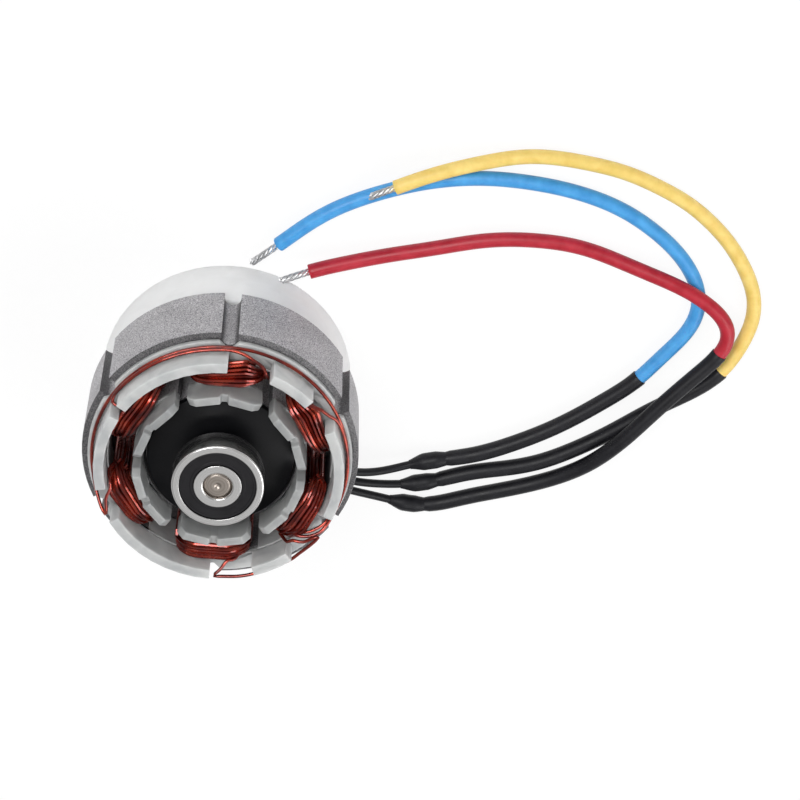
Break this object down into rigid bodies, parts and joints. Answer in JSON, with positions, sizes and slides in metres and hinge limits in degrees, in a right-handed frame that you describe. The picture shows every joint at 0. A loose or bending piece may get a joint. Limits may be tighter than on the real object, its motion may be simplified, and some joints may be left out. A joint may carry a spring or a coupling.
{
  "type": "brushless lawn mower motor",
  "caption": "Frameless inner-rotor brushless motor with a wound stator, end-mounted ball bearings and free phase leads, ready to fit in a housing.",
  "frame": {"origin": "centre of the rear insulator's rim, on the plane that the motor stands on", "axes": "+Z along the motor's axis from the rear rim to the front bearing, +X towards the side where the phase leads lie, one stator tooth on +Y"},
  "size_m": [0.1419, 0.0902, 0.0468],
  "materials": {
    "laminations": "matt lamination edges",
    "moulding": "white moulded nylon",
    "enamelled_wire": "varnished copper wire",
    "magnet": "nickel plated",
    "black_moulding": "black moulded nylon",
    "shaft_steel": "ground",
    "bearing_steel": "polished",
    "seal": "matt black",
    "black_sleeve": "heat-shrink sleeve",
    "blue_insulation": "satin silicone",
    "red_insulation": "satin silicone",
    "yellow_insulation": "satin silicone",
    "tinned_wire": "tinned strands"
  },
  "bodies": {
    "stator": {"stator_core": "laminations", "front_insulator": "moulding", "rear_insulator": "moulding", "coil_1": "enamelled_wire", "coil_2": "enamelled_wire", "coil_3": "enamelled_wire", "coil_4": "enamelled_wire", "coil_5": "enamelled_wire", "coil_6": "enamelled_wire", "crossover_wire_1": "enamelled_wire", "crossover_wire_2": "enamelled_wire", "crossover_wire_3": "enamelled_wire", "crossover_wire_4": "enamelled_wire", "blue_exit_sleeve": "black_sleeve", "blue_splice_sleeve": "black_sleeve", "blue_cover_sleeve": "black_sleeve", "blue_lead": "blue_insulation", "blue_tinned_end": "tinned_wire", "red_exit_sleeve": "black_sleeve", "red_splice_sleeve": "black_sleeve", "red_cover_sleeve": "black_sleeve", "red_lead": "red_insulation", "red_tinned_end": "tinned_wire", "yellow_exit_sleeve": "black_sleeve", "yellow_splice_sleeve": "black_sleeve", "yellow_cover_sleeve": "black_sleeve", "yellow_lead": "yellow_insulation", "yellow_tinned_end": "tinned_wire"},
    "rotor": {"rotor_core": "laminations", "rotor_magnet_1": "magnet", "rotor_magnet_2": "magnet", "rotor_magnet_3": "magnet", "rotor_magnet_4": "magnet", "rotor_front_cap": "black_moulding", "rotor_rear_cap": "black_moulding", "shaft": "shaft_steel", "front_bearing_inner_ring": "bearing_steel", "rear_bearing_inner_ring": "bearing_steel"},
    "front_bearing_ring": {"front_bearing_outer_ring": "bearing_steel", "front_bearing_outer_seal": "seal", "front_bearing_inner_seal": "seal"},
    "front_bearing_balls": {"front_bearing_ball_cage": "bearing_steel"},
    "rear_bearing_ring": {"rear_bearing_outer_ring": "bearing_steel", "rear_bearing_outer_seal": "seal", "rear_bearing_inner_seal": "seal"},
    "rear_bearing_balls": {"rear_bearing_ball_cage": "bearing_steel"}
  },
  "joints": [
    {"name": "rotor_spin", "type": "hinge", "parent": "stator", "child": "rotor", "pos_m": [0, 0, 0.025], "axis": [0, 0, 1], "continuous": true},
    {"name": "front_ring_spin", "type": "hinge", "parent": "rotor", "child": "front_bearing_ring", "pos_m": [0, 0, 0.0438], "axis": [0, 0, 1], "continuous": true},
    {"name": "front_balls_spin", "type": "hinge", "parent": "rotor", "child": "front_bearing_balls", "pos_m": [0, 0, 0.0438], "axis": [0, 0, 1], "continuous": true},
    {"name": "rear_ring_spin", "type": "hinge", "parent": "rotor", "child": "rear_bearing_ring", "pos_m": [0, 0, 0.009], "axis": [0, 0, 1], "continuous": true},
    {"name": "rear_balls_spin", "type": "hinge", "parent": "rotor", "child": "rear_bearing_balls", "pos_m": [0, 0, 0.009], "axis": [0, 0, 1], "continuous": true}
  ],
  "couplings": [
    {"joint": "front_balls_spin", "follows": "front_ring_spin", "ratio": 0.62},
    {"joint": "rear_balls_spin", "follows": "rear_ring_spin", "ratio": 0.62}
  ]
}
